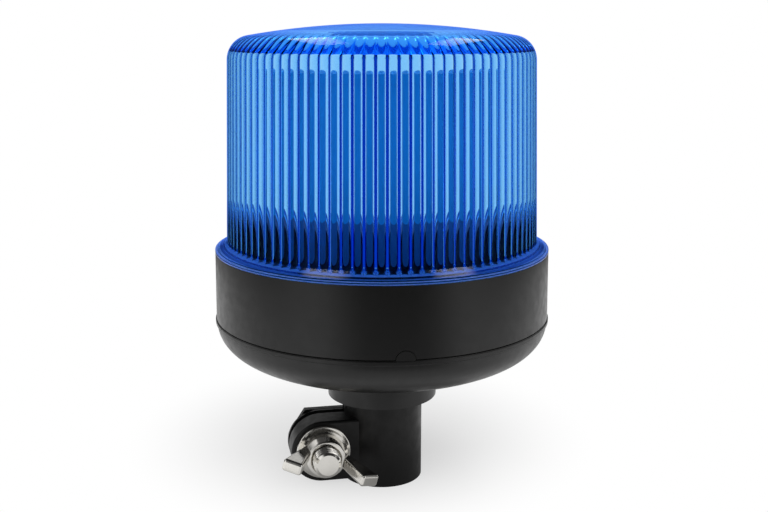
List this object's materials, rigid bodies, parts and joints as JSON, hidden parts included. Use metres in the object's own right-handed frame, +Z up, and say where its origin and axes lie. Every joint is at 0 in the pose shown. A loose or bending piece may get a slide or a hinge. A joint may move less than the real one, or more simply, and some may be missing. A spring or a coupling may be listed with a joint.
{
  "type": "led beacon",
  "caption": "Blue LED warning beacon: fluted domed lens on a round black base, with a slit pole socket clamped by a wing nut.",
  "frame": {"origin": "centre of the pole socket's mouth, on the foot that the beacon stands on", "axes": "+Z up along the pole axis, -X towards the clamp ears, -Y towards the wing nut"},
  "size_m": [0.1466, 0.1466, 0.2018],
  "materials": {
    "blue_lens": "clear blue polycarbonate, polished outside, fluted inside",
    "black_housing": "fine spark-eroded grain, semi-matte",
    "black_socket": "glass-filled moulding, semi-matte",
    "plated_steel": "bright zinc plating, slightly warm",
    "screw_steel": "zinc-plated screws",
    "seal_rubber": "moulded rubber",
    "deck_black": "matt black coated plate",
    "sink_aluminium": "extruded, plain anodised",
    "frosted_optic": "frosted blue light-spreading tube",
    "plinth_plastic": "dark blue moulding",
    "board_green": "circuit board with solder mask",
    "board_white": "white circuit board",
    "led_yellow": "diode package with phosphor",
    "chip_black": "moulded package",
    "ferrite": "sintered ferrite",
    "capacitor_can": "drawn aluminium can",
    "contact_insulator": "glass-filled insulator",
    "contact_brass": "turned brass",
    "spring_steel": "drawn spring wire"
  },
  "bodies": {
    "beacon": {"lens_dome": "blue_lens", "lens_gasket": "seal_rubber", "base_ring": "black_housing", "base_bowl": "black_housing", "housing_seal": "seal_rubber", "housing_screws": "screw_steel", "light_deck": "deck_black", "deck_screws": "screw_steel", "column_plinth": "plinth_plastic", "plinth_screws": "screw_steel", "heat_sink": "sink_aluminium", "inner_optic": "frosted_optic", "optic_cap": "frosted_optic", "cap_screw": "screw_steel", "driver_board": "board_green", "board_standoffs": "contact_brass", "board_screws": "screw_steel", "driver_inductor": "ferrite", "driver_capacitors": "capacitor_can", "driver_transistors": "chip_black", "controller_chip": "chip_black", "terminal_block": "contact_insulator", "pole_socket": "black_socket", "socket_seal": "seal_rubber", "socket_screws": "screw_steel", "contact_carrier": "contact_insulator", "carrier_screws": "screw_steel", "contact_spring": "spring_steel", "earth_contact": "contact_brass", "clamp_bolt": "plated_steel", "led_board_1": "board_white", "led_row_1": "led_yellow", "led_board_2": "board_white", "led_row_2": "led_yellow", "led_board_3": "board_white", "led_row_3": "led_yellow", "led_board_4": "board_white", "led_row_4": "led_yellow", "led_board_5": "board_white", "led_row_5": "led_yellow", "led_board_6": "board_white", "led_row_6": "led_yellow"},
    "washer": {"clamp_washer": "plated_steel"},
    "nut": {"wing_nut": "plated_steel"},
    "contact": {"centre_contact": "contact_brass"}
  },
  "joints": [
    {"name": "washer_slide", "type": "slide", "parent": "beacon", "child": "washer", "axis": [0, -1, 0], "range_m": [0, 0.00525]},
    {"name": "wing_nut_turn", "type": "hinge", "parent": "washer", "child": "nut", "pos_m": [-0.029, -0.0148, 0.0175], "axis": [0, -1, 0], "range_deg": [0, 1080]},
    {"name": "contact_press", "type": "slide", "parent": "beacon", "child": "contact", "axis": [0, 0, 1], "range_m": [0, 0.0025], "stiffness_N_per_m": 600, "springref_m": -0.004, "deforming": ["contact_spring"]}
  ],
  "couplings": [
    {"joint": "wing_nut_turn", "follows": "washer_slide", "rad_per_m": 3590.4}
  ]
}
